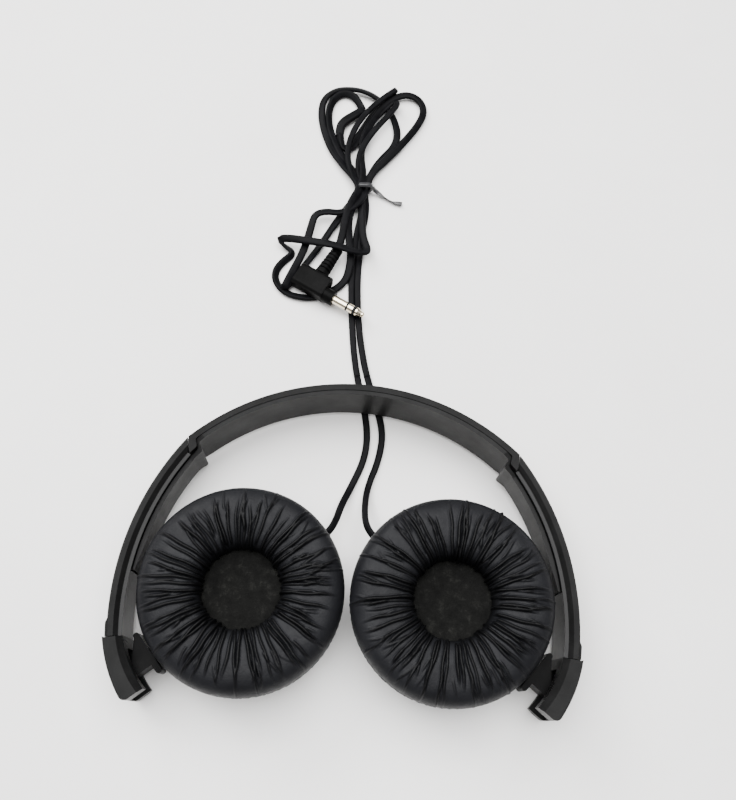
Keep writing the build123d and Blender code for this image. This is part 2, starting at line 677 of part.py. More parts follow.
# ---- hank: the tied cord, in its outer shape ----
HANK_HIGH = 6.8
TIE_X = -1.3
TIE_Y = CUP_Y + 171.0
TIE_WIDE = 2.2
TIE_THICK = 0.8
WAIST = 5.4  # width of the bundle inside the tie
with BuildPart() as hank:
    with BuildSketch():
        with BuildLine():
            Spline(
                (-4.2, CUP_Y + 174.0),
                (-12.0, CUP_Y + 188.0),
                (-23.5, CUP_Y + 203.0),
                (-25.0, CUP_Y + 213.0),
                (-14.0, CUP_Y + 223.5),
                (1.0, CUP_Y + 219.0),
                (14.0, CUP_Y + 223.5),
                (25.0, CUP_Y + 214.0),
                (20.0, CUP_Y + 200.0),
                (8.0, CUP_Y + 186.0),
                (1.6, CUP_Y + 174.0),
            )
            Polyline(
                (1.6, CUP_Y + 174.0),
                (1.6, CUP_Y + 162.0),
                (2.4, CUP_Y + 150.0),
                (1.6, CUP_Y + 137.0),
                (-6.8, CUP_Y + 137.0),
                (-8.0, CUP_Y + 138.85),
                (-13.37, CUP_Y + 141.68),
            )
            Spline(
                (-13.37, CUP_Y + 141.68),
                (-28.0, CUP_Y + 142.0),
                (-37.0, CUP_Y + 148.0),
                (-33.0, CUP_Y + 157.0),
                (-20.0, CUP_Y + 163.0),
                (-7.0, CUP_Y + 166.0),
                (-4.2, CUP_Y + 174.0),
            )
        make_face()
    extrude(amount=HANK_HIGH)
    # the tie sits in a waist
    with BuildSketch(Plane.XZ.offset(-TIE_Y - TIE_WIDE / 2)):
        with Locations((TIE_X, HANK_HIGH / 2)):
            Rectangle(12.0, HANK_HIGH + 1)
            Rectangle(WAIST, HANK_HIGH - 2 * TIE_THICK, mode=Mode.SUBTRACT)
    extrude(amount=TIE_WIDE, mode=Mode.SUBTRACT)
save(hank, "hank")

# ---- twist tie about the hank's waist, with one end left long ----
TIE_END = ((2.0, 171.9), (7.8, 169.4), (15.0, 167.0), (14.4, 164.9), (7.0, 167.3), (2.0, 169.9))
with BuildPart() as twist_tie:
    with BuildSketch(Plane.XZ.offset(-TIE_Y - TIE_WIDE / 2)):
        with Locations((TIE_X, HANK_HIGH / 2)):
            Rectangle(WAIST + 2 * TIE_THICK, HANK_HIGH)
            Rectangle(WAIST, HANK_HIGH - 2 * TIE_THICK, mode=Mode.SUBTRACT)
    extrude(amount=TIE_WIDE)
    with BuildSketch():
        Polygon(*from_cup_line(TIE_END), align=None)
    extrude(amount=TIE_THICK)
save(twist_tie, "twist_tie")

# ---- right-angle plug, lying on its side ----
PLUG_P = (cos(radians(PLUG_ANGLE)), sin(radians(PLUG_ANGLE)), 0)
PLUG_Q = (-PLUG_P[1], PLUG_P[0], 0)


def along_plug(p, q=0.0):
    """The plane across the pin, p mm out from its shoulder and q mm towards the cord side."""
    x = PLUG_X + p * PLUG_P[0] + q * PLUG_Q[0]
    y = PLUG_Y + p * PLUG_P[1] + q * PLUG_Q[1]
    return Plane(origin=(x, y, PLUG_Z), x_dir=PLUG_Q, z_dir=PLUG_P)


def across_plug(q):
    """The plane across the cord's way out of the plug, q mm from the pin's line."""
    x = PLUG_X - CORD_BACK * PLUG_P[0] + q * PLUG_Q[0]
    y = PLUG_Y - CORD_BACK * PLUG_P[1] + q * PLUG_Q[1]
    return Plane(origin=(x, y, PLUG_Z), x_dir=PLUG_P, z_dir=PLUG_Q)


PIN_HALF = 1.75
with BuildPart() as plug_body:
    with BuildSketch(along_plug(-18.0)):
        with Locations((1.9, 0)):
            RectangleRounded(9.6, 6.6, 1.6)
    extrude(amount=13.6)
    with BuildSketch(along_plug(-4.4)):
        Circle(3.0)
    extrude(amount=4.4)
save(plug_body, "plug_body")

RIBS = 6
RIB_PITCH = 1.7
RIB_CORE = 2.1
with BuildPart() as plug_relief:
    with BuildSketch(across_plug(6.7)):
        Circle(2.9)
    with BuildSketch(across_plug(20.0)):
        Circle(2.2)
    loft()
    for i in range(RIBS):
        with BuildSketch(across_plug(8.4 + RIB_PITCH * i)):
            Circle(4)
            Circle(RIB_CORE - 0.05 * i, mode=Mode.SUBTRACT)
        extrude(amount=RIB_PITCH / 2, mode=Mode.SUBTRACT)
save(plug_relief, "plug_relief")

with BuildPart() as plug_sleeve:
    with BuildSketch(along_plug(0)):
        Circle(PIN_HALF)
    extrude(amount=6.0)
save(plug_sleeve, "plug_sleeve")

with BuildPart() as plug_ring:
    with BuildSketch(along_plug(6.8)):
        Circle(PIN_HALF)
    extrude(amount=2.2)
save(plug_ring, "plug_ring")

with BuildPart() as plug_insulators:
    for p in (6.0, 9.0):
        with BuildSketch(along_plug(p)):
            Circle(PIN_HALF)
        extrude(amount=0.8)
save(plug_insulators, "plug_insulators")

with BuildPart() as plug_tip:
    for start, near, far, run in ((9.8, 1.3, PIN_HALF, 0.5), (11.0, PIN_HALF, 1.05, 1.8)):
        with BuildSketch(along_plug(start)):
            Circle(near)
        with BuildSketch(along_plug(start + run)):
            Circle(far)
        loft()
    with BuildSketch(along_plug(10.3)):
        Circle(PIN_HALF)
    extrude(amount=0.7)
    with BuildSketch(along_plug(12.8)):
        Circle(1.05)
    extrude(amount=1.2)
    ends = plug_tip.edges().filter_by(GeomType.CIRCLE).sort_by(Axis((0, 0, 0), PLUG_P))
    fillet(ends[-1], radius=0.8)
save(plug_tip, "plug_tip")
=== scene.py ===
"""Looks for folded on-ear headphones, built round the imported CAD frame. Units are metres."""
import math
import random

import bmesh
import bpy
from mathutils import Matrix, Vector, noise


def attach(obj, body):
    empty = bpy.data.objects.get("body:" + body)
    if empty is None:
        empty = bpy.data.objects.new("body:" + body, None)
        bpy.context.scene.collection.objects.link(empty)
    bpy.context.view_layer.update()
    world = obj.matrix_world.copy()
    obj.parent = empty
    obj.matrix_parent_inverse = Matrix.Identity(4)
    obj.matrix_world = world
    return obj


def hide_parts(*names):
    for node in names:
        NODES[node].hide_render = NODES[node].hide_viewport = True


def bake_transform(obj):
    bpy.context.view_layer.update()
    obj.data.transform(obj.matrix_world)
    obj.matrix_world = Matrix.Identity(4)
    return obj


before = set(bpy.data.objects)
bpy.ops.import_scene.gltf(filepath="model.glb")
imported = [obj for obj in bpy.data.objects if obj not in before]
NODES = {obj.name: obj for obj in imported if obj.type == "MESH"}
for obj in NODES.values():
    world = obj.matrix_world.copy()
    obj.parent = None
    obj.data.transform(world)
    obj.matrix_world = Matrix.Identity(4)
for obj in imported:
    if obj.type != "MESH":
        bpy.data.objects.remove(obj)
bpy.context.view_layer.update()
MM = 0.001
CUP_X = 35.25
CUP_Y = -19.23
AXIS_Z = 12.0
AXIS_OUT = math.degrees(math.atan2(-29.2, 35.45))
HANDS = (("left", -1), ("right", 1))


def at(point):
    """A point in mm, with Y counted from the line of the cup centres, in the frame."""
    return Vector((point[0] * MM, (point[1] + CUP_Y) * MM, point[2] * MM))


# ---- camera ----
camera_data = bpy.data.cameras.new("camera")
camera_data.sensor_fit = "HORIZONTAL"
camera_data.sensor_width = 36.0
camera_data.lens = 881.67 * 36.0 / 736.0
camera_data.clip_start = 0.01
camera = bpy.data.objects.new("camera", camera_data)
bpy.context.scene.collection.objects.link(camera)
VIEW = Matrix.Rotation(-0.0811, 4, "Z") @ Matrix.Rotation(0.3511, 4, "X") @ Matrix.Rotation(0.1338, 4, "Z")
camera.matrix_world = Matrix.Translation(at((-5.02, -39.50, 321.37))) @ VIEW
bpy.context.scene.camera = camera


# ---- materials ----
class Look:
    """A Principled material, with helpers for the nodes that feed it."""

    def __init__(self, name, **constants):
        self.material = bpy.data.materials.new(name)
        self.material.use_nodes = True
        self.tree = self.material.node_tree
        self.shader = self.tree.nodes["Principled BSDF"]
        for key, value in constants.items():
            self.shader.inputs[key.replace("_", " ")].default_value = value
        self.coords = self.tree.nodes.new("ShaderNodeTexCoord")

    def link(self, out, socket):
        self.tree.links.new(out, socket)

    def stretched(self, scale):
        node = self.tree.nodes.new("ShaderNodeMapping")
        node.inputs["Scale"].default_value = scale
        self.link(self.coords.outputs["Object"], node.inputs["Vector"])
        return node.outputs["Vector"]

    def grain(self, scale, detail=4.0, rough=0.6, vector=None):
        node = self.tree.nodes.new("ShaderNodeTexNoise")
        node.inputs["Scale"].default_value = scale
        node.inputs["Detail"].default_value = detail
        node.inputs["Roughness"].default_value = rough
        self.link(vector or self.coords.outputs["Object"], node.inputs["Vector"])
        return node.outputs["Fac"]

    def cells(self, scale, feature="F1", vector=None):
        node = self.tree.nodes.new("ShaderNodeTexVoronoi")
        node.feature = feature
        node.inputs["Scale"].default_value = scale
        self.link(vector or self.coords.outputs["Object"], node.inputs["Vector"])
        return node.outputs["Distance"]

    def ramp(self, value, stops):
        node = self.tree.nodes.new("ShaderNodeValToRGB")
        node.color_ramp.elements[0].position = stops[0][0]
        node.color_ramp.elements[0].color = (*stops[0][1], 1)
        node.color_ramp.elements[1].position = stops[-1][0]
        node.color_ramp.elements[1].color = (*stops[-1][1], 1)
        for place, colour in stops[1:-1]:
            node.color_ramp.elements.new(place).color = (*colour, 1)
        self.link(value, node.inputs["Fac"])
        return node.outputs["Color"]

    def span(self, value, low, high, from_low=0.3, from_high=0.7):
        node = self.tree.nodes.new("ShaderNodeMapRange")
        node.inputs["From Min"].default_value = from_low
        node.inputs["From Max"].default_value = from_high
        node.inputs["To Min"].default_value = low
        node.inputs["To Max"].default_value = high
        self.link(value, node.inputs["Value"])
        return node.outputs["Result"]

    def colour(self, out):
        self.link(out, self.shader.inputs["Base Color"])
        return self

    def roughness(self, out):
        self.link(out, self.shader.inputs["Roughness"])
        return self

    def bump(self, *layers):
        """Layers of (height, strength, distance), the first one lowest."""
        normal = None
        for height, strength, reach in layers:
            node = self.tree.nodes.new("ShaderNodeBump")
            node.inputs["Strength"].default_value = strength
            node.inputs["Distance"].default_value = reach
            self.link(height, node.inputs["Height"])
            if normal:
                self.link(normal, node.inputs["Normal"])
            normal = node.outputs["Normal"]
        self.link(normal, self.shader.inputs["Normal"])
        return self


def grey(v):
    return (v, v, v)


def moulded(name, dark, light, rough, texture=2600, strength=0.25, shine=0.055):
    """Moulded plastic: fine spark-eroded grain, faint rubbing and slight changes of gloss."""
    look = Look(name, Specular_IOR_Level=shine)
    rub = look.grain(140, 6.0, 0.7)
    fine = look.grain(texture, 2.0, 0.5)
    scuff = look.grain(48, 8.0, 0.75)
    middle = (dark + light) / 2
    look.colour(look.ramp(rub, [(0.3, grey(dark)), (0.55, grey(middle)), (0.75, grey(light))]))
    look.roughness(look.span(scuff, rough - 0.07, rough + 0.09))
    look.bump((rub, 0.06, 0.0002), (fine, strength, 0.00006))
    return look.material


def metal(name, tint, rough, lines=(1, 1, 1)):
    """Bare metal with fine marks drawn out along one way, and faint stains."""
    look = Look(name, Metallic=1.0)
    streak = look.grain(900, 4.0, 0.6, look.stretched(lines))
    stain = look.grain(90, 5.0, 0.6)
    low = tuple(c * 0.8 for c in tint)
    look.colour(look.ramp(stain, [(0.3, low), (0.7, tint)]))
    look.roughness(look.span(streak, rough - 0.06, rough + 0.1))
    look.bump((streak, 0.12, 0.00003))
    return look.material


BLACK = moulded("black_plastic", 0.002, 0.005, 0.36, shine=0.02)
GLOSS = moulded("black_gloss", 0.004, 0.008, 0.16, strength=0.06, shine=0.10)
LINER = moulded("grey_liner", 0.007, 0.013, 0.38, texture=2000, strength=0.3, shine=0.045)
DARK = moulded("dark_plastic", 0.01, 0.018, 0.55)
SHELL = moulded("shell_satin", 0.005, 0.010, 0.30, shine=0.035)
STEEL = metal("steel", (0.55, 0.55, 0.56), 0.32, (1, 1, 9))
MAGNET = metal("magnet", (0.16, 0.16, 0.17), 0.5)
COPPER = metal("copper", (0.72, 0.38, 0.2), 0.3, (1, 1, 20))
PLATED = metal("plated", (0.86, 0.76, 0.58), 0.16, (8, 1, 1))


def leatherette():
    """Pebbled, creased cover, with painted shade in its pleats and down the hole's inner wall, mixed in by
    the mesh's drawn attribute.
    """
    look = Look("leatherette", Specular_IOR_Level=0.09)
    pebble = look.cells(1500, "F1")
    crease = look.grain(420, 7.0, 0.65)
    patch = look.grain(55, 4.0, 0.6)
    stops = [
        (0.3, (0.0046, 0.0047, 0.0056)),
        (0.55, (0.0068, 0.0070, 0.0082)),
        (0.75, (0.0098, 0.0101, 0.0114)),
    ]
    tint = look.ramp(patch, stops)
    # painted shade: the drawn attribute darkens the pleats and the hole's inner wall towards a near-black
    # colour
    drawn = look.tree.nodes.new("ShaderNodeAttribute")
    drawn.attribute_name = "drawn"
    painted_shade = look.tree.nodes.new("ShaderNodeMix")
    painted_shade.data_type = "RGBA"
    look.link(drawn.outputs["Fac"], painted_shade.inputs["Factor"])
    look.link(tint, painted_shade.inputs["A"])
    # the colour of the painted shade in the pleats and down the hole's inner wall
    painted_shade.inputs["B"].default_value = (0.0012, 0.0012, 0.0014, 1)
    look.colour(painted_shade.outputs["Result"])
    look.roughness(look.span(crease, 0.40, 0.58))
    look.bump((crease, 0.35, 0.0003), (pebble, 0.3, 0.00012))
    return look.material


def felt():
    """Matted fibre, uneven in colour and height."""
    look = Look("felt", Specular_IOR_Level=0.03, Sheen_Weight=0.01, Sheen_Roughness=0.5)
    fibre = look.grain(2400, 8.0, 0.8)
    tuft = look.grain(330, 6.0, 0.75)
    stops = [(0.3, (0.003, 0.003, 0.0029)), (0.55, (0.0055, 0.0055, 0.0052)), (0.78, (0.016, 0.016, 0.0145))]
    look.colour(look.ramp(tuft, stops))
    look.roughness(look.span(fibre, 0.8, 0.98))
    look.bump((tuft, 0.5, 0.0004), (fibre, 0.7, 0.0002))
    return look.material


def cord_skin():
    """Soft rubber sheath, slightly wavy."""
    look = Look("cord_skin", Specular_IOR_Level=0.03)
    wave = look.grain(260, 5.0, 0.6)
    fine = look.grain(2600, 3.0, 0.5)
    look.colour(look.ramp(wave, [(0.3, (0.0022, 0.0022, 0.0026)), (0.7, (0.0055, 0.0055, 0.0062))]))
    look.roughness(look.span(wave, 0.34, 0.52))
    look.bump((wave, 0.2, 0.0002), (fine, 0.25, 0.00006))
    return look.material


def thread():
    """Twisted sewing thread."""
    look = Look("thread", Specular_IOR_Level=0.4)
    twist = look.grain(3000, 4.0, 0.6, look.stretched((1, 1, 3)))
    look.colour(look.ramp(twist, [(0.3, (0.02, 0.02, 0.021)), (0.7, (0.06, 0.06, 0.062))]))
    look.roughness(look.span(twist, 0.5, 0.7))
    look.bump((twist, 0.5, 0.0001))
    return look.material


def painted(name, low, high, rough, scale):
    """A plain surface that varies gently between two colours."""
    look = Look(name)
    blotch = look.grain(scale, 6.0, 0.65)
    look.colour(look.ramp(blotch, [(0.3, low), (0.7, high)]))
    look.roughness(look.span(blotch, rough - 0.05, rough + 0.08))
    look.bump((blotch, 0.15, 0.0001))
    return look.material


LEATHER = leatherette()
FELT = felt()
CORD = cord_skin()
THREAD = thread()
BOARD = painted("board", (0.02, 0.12, 0.05), (0.04, 0.2, 0.08), 0.45, 600)
FILM = painted("film", (0.42, 0.4, 0.33), (0.55, 0.52, 0.44), 0.25, 500)
TIE = painted("tie_film", (0.012, 0.012, 0.013), (0.03, 0.03, 0.032), 0.3, 700)
CLOTH = painted("table", (0.80, 0.785, 0.775), (0.87, 0.865, 0.855), 0.62, 6)

FINISH = {
    "headband_shell": SHELL,
    "headband_liner": LINER,
    "arm_cover": SHELL,
    "arm_plate": GLOSS,
    "tail": SHELL,
    "hanger": BLACK,
    "housing": BLACK,
    "housing_disc": GLOSS,
    "baffle": DARK,
    "driver_frame": DARK,
    "magnet": MAGNET,
    "voice_coil": COPPER,
    "diaphragm": FILM,
    "terminal_board": BOARD,
    "strain_relief": CORD,
    "plug_body": BLACK,
    "plug_relief": BLACK,
    "plug_sleeve": PLATED,
    "plug_ring": PLATED,
    "plug_tip": PLATED,
    "plug_insulators": DARK,
    "hank": CORD,
    "cord": CORD,
    "ear_pad": LEATHER,
    "felt_disc": FELT,
    "twist_tie": TIE,
}
for node, obj in NODES.items():
    stem = node.removesuffix("_left").removesuffix("_right")
    look = FINISH.get(stem, STEEL)
    obj.data.materials.clear()
    obj.data.materials.append(look)


# ---- mesh helpers ----
def new_mesh(name, verts, faces, look):
    """A smooth-shaded mesh object in the scene."""
    mesh = bpy.data.meshes.new(name)
    mesh.from_pydata([tuple(v) for v in verts], [], faces)
    mesh.validate()
    mesh.update()
    mesh.polygons.foreach_set("use_smooth", [True] * len(mesh.polygons))
    mesh.materials.append(look)
    obj = bpy.data.objects.new(name, mesh)
    bpy.context.scene.collection.objects.link(obj)
    return obj


def smooth_line(name, points, step=0.0007):
    """Points along the NURBS curve whose control points are given in mm, evenly spaced."""
    data = bpy.data.curves.new(name, "CURVE")
    data.dimensions = "3D"
    data.resolution_u = 14
    spline = data.splines.new("NURBS")
    spline.points.add(len(points) - 1)
    for knot, point in zip(spline.points, points):
        knot.co = (*at(point), 1)
    spline.order_u = 3
    spline.use_endpoint_u = True
    guide = bpy.data.objects.new(name, data)
    mesh = bpy.data.meshes.new_from_object(guide)
    line = [v.co.copy() for v in mesh.vertices]
    bpy.data.objects.remove(guide)
    out = [line[0]]
    for a, b in zip(line, line[1:]):
        run = (b - a).length
        for i in range(1, max(1, round(run / step)) + 1):
            out.append(a.lerp(b, i / max(1, round(run / step))))
    return out


def thin_out(line, gap=0.0009):
    """The line with points closer than a gap dropped, its ends kept."""
    out = [line[0]]
    for p in line[1:-1]:
        if (p - out[-1]).length >= gap:
            out.append(p)
    out.append(line[-1])
    return out


def flat_section(wide, thick, sides=16):
    """A rounded strip with a shallow groove down the middle of each broad face."""
    ring = []
    for i in range(sides):
        a = 2 * math.pi * (i + 0.5) / sides
        x = math.copysign(abs(math.cos(a)) ** 0.8, math.cos(a)) * wide / 2
        y = math.copysign(abs(math.sin(a)) ** 0.7, math.sin(a)) * thick / 2
        y *= 1 - 0.16 * math.exp(-((x / (0.16 * wide)) ** 2))
        ring.append((x, y))
    return ring


def strip_along(name, line, section, roll, look, scale=None):
    """Sweeps a section along a line; roll(s) is its turn from lying flat, s the distance in mm."""
    tangents = []
    for i in range(len(line)):
        tangents.append((line[min(i + 1, len(line) - 1)] - line[max(i - 1, 0)]).normalized())
    flat = Vector((0, 0, 1))
    verts = []
    travelled = 0.0
    last = tangents[0].cross(flat).normalized()
    for i, (p, t) in enumerate(zip(line, tangents)):
        if i:
            travelled += (p - line[i - 1]).length / MM
        level = t.cross(flat)
        carried = (last - t * last.dot(t)).normalized()
        if level.length > 0.25:
            if level.dot(carried) < 0:
                level = -level
            carried = (carried * 0.8 + level.normalized() * 0.2).normalized()
        last = (carried - t * carried.dot(t)).normalized()
        up = last.cross(t).normalized()
        turn = roll(travelled)
        wide = last * math.cos(turn) + up * math.sin(turn)
        high = up * math.cos(turn) - last * math.sin(turn)
        size = scale(i / (len(line) - 1)) if scale else 1.0
        for x, y in section:
            verts.append(p + wide * (x * size * MM) + high * (y * size * MM))
    n = len(section)
    faces = []
    for i in range(len(line) - 1):
        for j in range(n):
            faces.append((i * n + j, i * n + (j + 1) % n, (i + 1) * n + (j + 1) % n, (i + 1) * n + j))
    faces.append(tuple(range(n)))
    faces.append(tuple((len(line) - 1) * n + j for j in reversed(range(n))))
    obj = new_mesh(name, verts, faces, look)
    solid = bmesh.new()
    solid.from_mesh(obj.data)
    bmesh.ops.recalc_face_normals(solid, faces=solid.faces)
    solid.to_mesh(obj.data)
    solid.free()
    return obj


def length_of(line):
    """The length of a line of points, in metres."""
    return sum((b - a).length for a, b in zip(line, line[1:]))


# ---- cords ----
def far_side(reach, hand):
    """A place on the swivel axis, on the far side of a cup from its hinge, in mm."""
    a = math.radians(AXIS_OUT + 180)
    return (hand * (CUP_X + reach * math.cos(a)), reach * math.sin(a), AXIS_Z)


LEAD_FROM = 32.3
LEAD_TURN = LEAD_FROM + 3.6
CORD_WIDE = 2.6
CORD_THICK = 1.6
MAIN_WIDE = 3.2
MAIN_THICK = 1.8
LEAD_LEFT = [
    far_side(LEAD_FROM, -1), far_side(LEAD_TURN, -1), (-5.2, 27.4, 10.8), (-3.6, 34.4, 5.4),
    (-0.4, 42.2, 1.2), (4.5, 54.0, 1.2), (4.9, 66.0, 1.2), (1.3, 80.0, 1.2), (-1.7, 94.0, 1.2),
    (-3.3, 108.0, 1.2), (-4.5, 124.0, 1.2), (-4.5, 137.0, 1.2),
]
LEAD_RIGHT = [
    far_side(LEAD_FROM, 1), far_side(LEAD_TURN, 1), (5.2, 27.4, 10.8), (5.0, 34.8, 5.4),
    (5.8, 42.8, 1.2), (9.6, 53.5, 1.2), (10.9, 64.5, 1.2), (7.4, 76.0, 1.2), (2.9, 89.0, 1.2),
    (0.3, 102.0, 1.2), (-1.2, 114.0, 1.2), (-2.0, 126.0, 1.2), (-2.0, 137.0, 1.2),
]
# the leads go on into the hank: up to its top, over, and back to where they join
HANK_LEFT = [
    (-3.6, 150.0, 1.5), (-1.6, 161.1, 2.0), (-3.0, 171.1, 2.2), (-7.0, 177.0, 4.6), (-9.8, 186.1, 5.4),
    (-7.6, 198.4, 5.4), (-2.0, 208.7, 5.4), (4.6, 216.4, 5.0), (9.3, 221.0, 4.6), (10.7, 223.0, 3.6),
    (7.5, 220.0, 2.2), (1.5, 212.1, 1.6), (-3.3, 202.9, 1.5), (-7.5, 194.1, 1.5), (-11.0, 191.7, 1.5),
    (-13.0, 194.7, 1.7), (-13.4, 198.6, 2.0),
]
HANK_RIGHT = [
    (-1.4, 150.0, 1.5), (0.3, 161.2, 2.0), (-1.0, 171.2, 2.2), (-4.3, 177.0, 4.6), (-4.6, 184.6, 5.4),
    (-2.3, 192.3, 5.4), (2.7, 200.9, 5.4), (8.0, 208.3, 5.2), (11.1, 213.8, 4.6), (10.7, 216.6, 3.6),
    (6.2, 213.6, 2.4), (0.7, 206.2, 2.0), (-3.9, 197.3, 2.0), (-7.6, 191.2, 2.2), (-10.7, 189.9, 2.6),
    (-12.2, 193.3, 2.8), (-12.7, 198.2, 2.8),
]
JOIN = [(-13.1, 197.3, 2.3), (-13.4, 201.4, 2.4), (-11.6, 204.9, 2.6), (-7.1, 208.6, 2.6), (-3.6, 211.8, 2.4)]
# the main cord: out of the join, round the hank's loops and into the plug
MAIN = [
    (-3.9, 211.5, 2.3), (-6.5, 217.6, 2.2), (-11.3, 220.6, 2.2), (-16.2, 218.2, 1.9), (-18.8, 211.0, 1.7),
    (-17.9, 201.6, 1.7), (-14.8, 193.5, 1.8), (-10.9, 185.5, 2.2), (-4.6, 177.5, 2.4), (-2.6, 170.0, 3.2),
    (-1.9, 157.5, 3.2), (-1.0, 147.8, 3.6), (1.0, 142.4, 4.2), (1.2, 139.4, 5.0), (-3.1, 138.6, 6.6),
    (-12.0, 140.2, 8.9), (-22.6, 142.3, 7.0), (-31.7, 144.2, 5.0), (-35.5, 144.1, 3.6), (-32.5, 141.9, 2.0),
    (-28.3, 139.4, 1.5), (-33.2, 134.9, 1.4), (-35.8, 130.2, 1.3), (-34.9, 125.3, 1.3), (-31.0, 121.1, 1.3),
    (-24.4, 119.4, 1.3), (-18.0, 119.9, 1.3), (-11.7, 123.3, 1.3), (-7.1, 127.7, 1.5), (-5.6, 132.6, 3.0),
    (-5.3, 138.8, 3.8), (-6.5, 145.8, 4.0), (-7.3, 154.0, 4.2), (-6.1, 161.3, 4.4), (-3.2, 170.0, 4.4),
    (-5.6, 175.5, 4.0), (-10.6, 181.8, 2.8), (-16.3, 190.3, 1.8), (-20.1, 200.0, 1.5), (-22.0, 209.3, 1.5),
    (-21.2, 216.8, 1.7), (-16.6, 221.4, 2.0), (-10.5, 222.4, 2.4), (-3.8, 221.4, 2.8), (2.3, 218.6, 2.2),
    (6.9, 214.2, 1.6), (10.7, 207.0, 1.4), (12.0, 199.5, 1.4), (10.1, 193.1, 1.4), (6.0, 188.1, 1.6),
    (2.5, 182.2, 2.0), (0.3, 175.9, 2.6), (-0.6, 168.5, 3.4), (-4.5, 161.3, 4.6), (-10.8, 157.4, 4.8),
    (-16.4, 158.0, 4.8), (-21.2, 156.4, 4.6), (-22.3, 150.9, 4.2), (-23.5, 144.5, 3.8), (-25.2, 137.9, 3.6),
    (-28.3, 130.4, 3.4), (-30.9, 123.6, 3.2), (-31.8, 121.8, 2.6), (-30.3, 123.4, 1.6), (-27.1, 129.0, 1.4),
    (-22.3, 136.6, 1.4), (-17.5, 144.9, 1.5), (-12.3, 155.1, 1.7), (-7.0, 163.7, 2.2), (-1.8, 171.3, 2.8),
    (1.7, 179.6, 2.8), (6.9, 185.9, 2.6), (14.3, 195.5, 2.4), (20.8, 205.8, 2.2), (23.3, 213.2, 2.0),
    (21.1, 219.2, 2.0), (15.7, 221.6, 2.3), (10.0, 219.2, 2.6), (4.9, 214.3, 2.6), (0.8, 206.4, 2.8),
    (-2.9, 197.0, 3.2), (-3.6, 186.5, 4.0), (-1.9, 176.8, 4.6), (-3.4, 169.6, 4.8), (-6.8, 162.6, 5.2),
    (-8.6, 154.6, 5.2), (-9.3, 147.0, 5.0), (-10.72, 140.26, 4.9),
]


def roll_of(base, swing, pitch, phase=0.0):
    """How the flat cord rolls over as it goes: slowly, to and fro."""
    return lambda s: math.radians(base + swing * math.sin(s / pitch + phase))


def flat_cord(name, line, wide, thick, base, swing, pitch, phase):
    """A flat cord swept along a line, rolling to and fro as it goes."""
    return strip_along(name, line, flat_section(wide, thick), roll_of(base, swing, pitch, phase), CORD)


SPLIT_Y = (CUP_Y + 86.0) * MM  # under the band, where a lead's loose part ends
LEAD_ROLL = 14  # degrees
LOOSE_SWING = 24
LOOSE_PITCH = 19.0
TIED_SWING = 16
TIED_PITCH = 17.0
JOIN_STEP = 0.0004
JOIN_WIDE = 4.2
JOIN_THICK = 2.7


def join_girth(u):
    """The join's size along its length: narrow at both ends, full between."""
    return 0.52 + 0.48 * math.sin(math.pi * (0.08 + 0.84 * u)) ** 0.45


join_line = thin_out(smooth_line("guide_join", JOIN, JOIN_STEP), JOIN_STEP)
join_section = flat_section(JOIN_WIDE, JOIN_THICK, 20)
join = strip_along("cord_join", join_line, join_section, roll_of(12, 0, 1), CORD, join_girth)
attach(join, "headband")
for (side, hand), route, hank_route in zip(HANDS, (LEAD_LEFT, LEAD_RIGHT), (HANK_LEFT, HANK_RIGHT)):
    line = smooth_line("guide_" + side, route + hank_route)
    cut = next(i for i, p in enumerate(line) if p.y > SPLIT_Y)
    near = thin_out(line[: cut + 1])
    rest = thin_out(line[cut:])
    base = LEAD_ROLL * hand
    loose = flat_cord("lead_loose_" + side, near, CORD_WIDE, CORD_THICK, base, LOOSE_SWING, LOOSE_PITCH, hand)
    # the tied part takes up the roll where the loose part leaves it
    carried = base + LOOSE_SWING * math.sin(length_of(near) / MM / LOOSE_PITCH + hand)
    tied = flat_cord("lead_tied_" + side, rest, CORD_WIDE, CORD_THICK, carried, TIED_SWING, TIED_PITCH, 0.0)
    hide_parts("cord_" + side)
    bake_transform(loose)
    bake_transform(tied)

MAIN_ROLL = 6
MAIN_SWING = 30
MAIN_PITCH = 23.0
main_line = thin_out(smooth_line("guide_main", MAIN))
main_cord = flat_cord("main_cord", main_line, MAIN_WIDE, MAIN_THICK, MAIN_ROLL, MAIN_SWING, MAIN_PITCH, 1.0)
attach(main_cord, "headband")
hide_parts("hank")

# ---- twist tie: a flat film with a wire down its middle ----
WAIST = [
    (2.0, 170.6, 5.2), (1.9, 170.9, 2.4), (0.6, 171.2, 0.7), (-1.4, 171.3, 0.45),
    (-3.6, 171.2, 0.7), (-4.5, 171.0, 2.4), (-4.4, 170.9, 4.8), (-3.4, 170.9, 6.2),
    (-1.4, 171.0, 6.42), (0.6, 171.2, 6.3), (1.9, 171.3, 5.4), (2.2, 171.2, 3.6),
    (3.2, 170.9, 2.6), (5.2, 170.0, 1.7), (7.6, 168.5, 1.2), (9.6, 167.1, 1.15),
    (12.2, 166.5, 1.15), (14.8, 166.0, 1.15),
]
TIE_STEP = 0.0003
film = [(-1.05, -0.14), (-0.35, -0.14), (-0.28, -0.3), (0.28, -0.3), (0.35, -0.14), (1.05, -0.14),
        (1.05, 0.14), (0.35, 0.14), (0.28, 0.3), (-0.28, 0.3), (-0.35, 0.14), (-1.05, 0.14)]


def tie_roll(s):
    """The free end's twist, strongest part of the way along it."""
    return math.radians(70 * math.exp(-(((s - 30.0) / 4.0) ** 2)))


tie_line = thin_out(smooth_line("guide_tie", WAIST, TIE_STEP), TIE_STEP)
tie = strip_along("tie_strip", tie_line, film, tie_roll, TIE)
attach(tie, "headband")
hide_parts("twist_tie")

